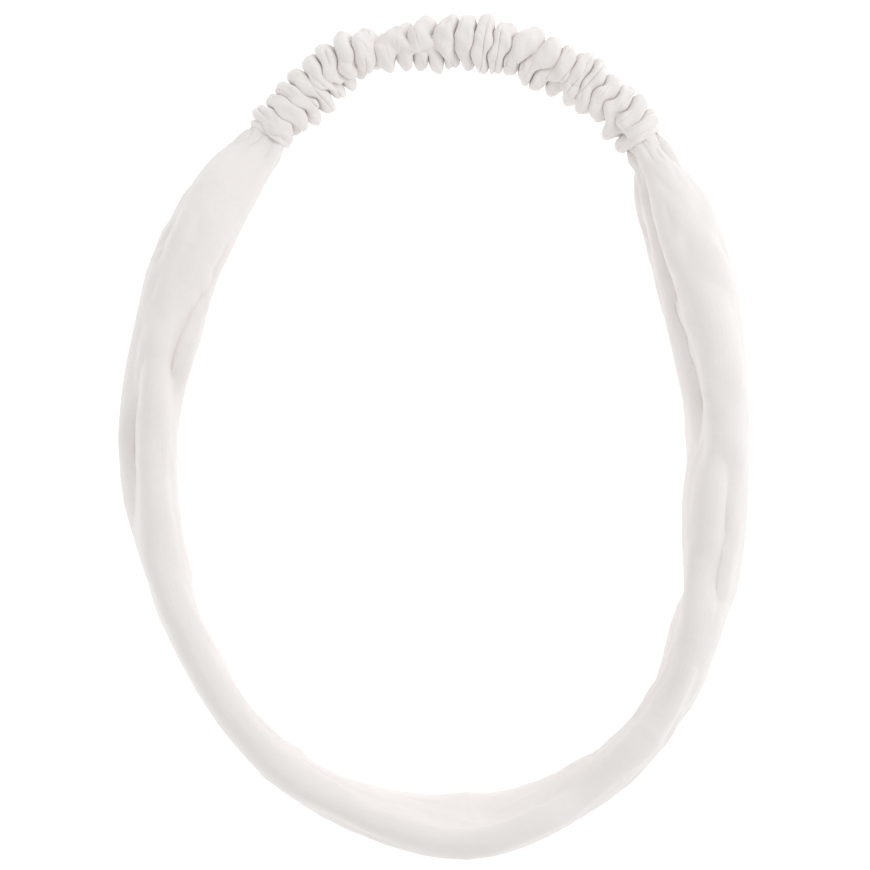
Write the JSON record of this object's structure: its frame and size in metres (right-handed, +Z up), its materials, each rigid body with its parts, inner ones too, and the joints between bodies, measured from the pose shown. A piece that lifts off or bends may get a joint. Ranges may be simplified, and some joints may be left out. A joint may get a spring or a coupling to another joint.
{
  "type": "stretch fabric headband",
  "caption": "Soft ivory fabric headband: a wide folded cloth band gathered at both ends into a shirred elastic back that stretches open over the head.",
  "frame": {"origin": "centre of the open loop, on the surface that the band stands on", "axes": "+Y to the shirred elastic back, -Y to the front of the head, +Z up along the band's width, +X to the side whose arm swings"},
  "size_m": [0.1444, 0.1951, 0.038],
  "materials": {
    "band_cloth": "soft brushed ivory knit, matt with a faint nap",
    "casing_cloth": "the same ivory knit, shirred into close irregular gathers",
    "elastic": "flat woven white elastic",
    "thread": "spun ivory sewing thread"
  },
  "bodies": {
    "left_half": {"band_left": "band_cloth", "band_seam_left": "band_cloth", "elastic_casing": "casing_cloth", "casing_seam": "casing_cloth", "elastic_strip": "elastic", "elastic_tack_left": "thread", "join_stitches_left": "thread"},
    "right_half": {"band_right": "band_cloth", "band_seam_right": "band_cloth", "elastic_tack_right": "thread", "join_stitches_right": "thread"}
  },
  "joints": [
    {"name": "loop_stretch", "type": "hinge", "parent": "left_half", "child": "right_half", "pos_m": [0.0087, -0.0894, 0], "axis": [0, 0, -1], "range_deg": [0, 18], "stiffness_Nm_per_rad": 1.2, "deforming": ["elastic_casing", "casing_seam", "elastic_strip"]}
  ]
}
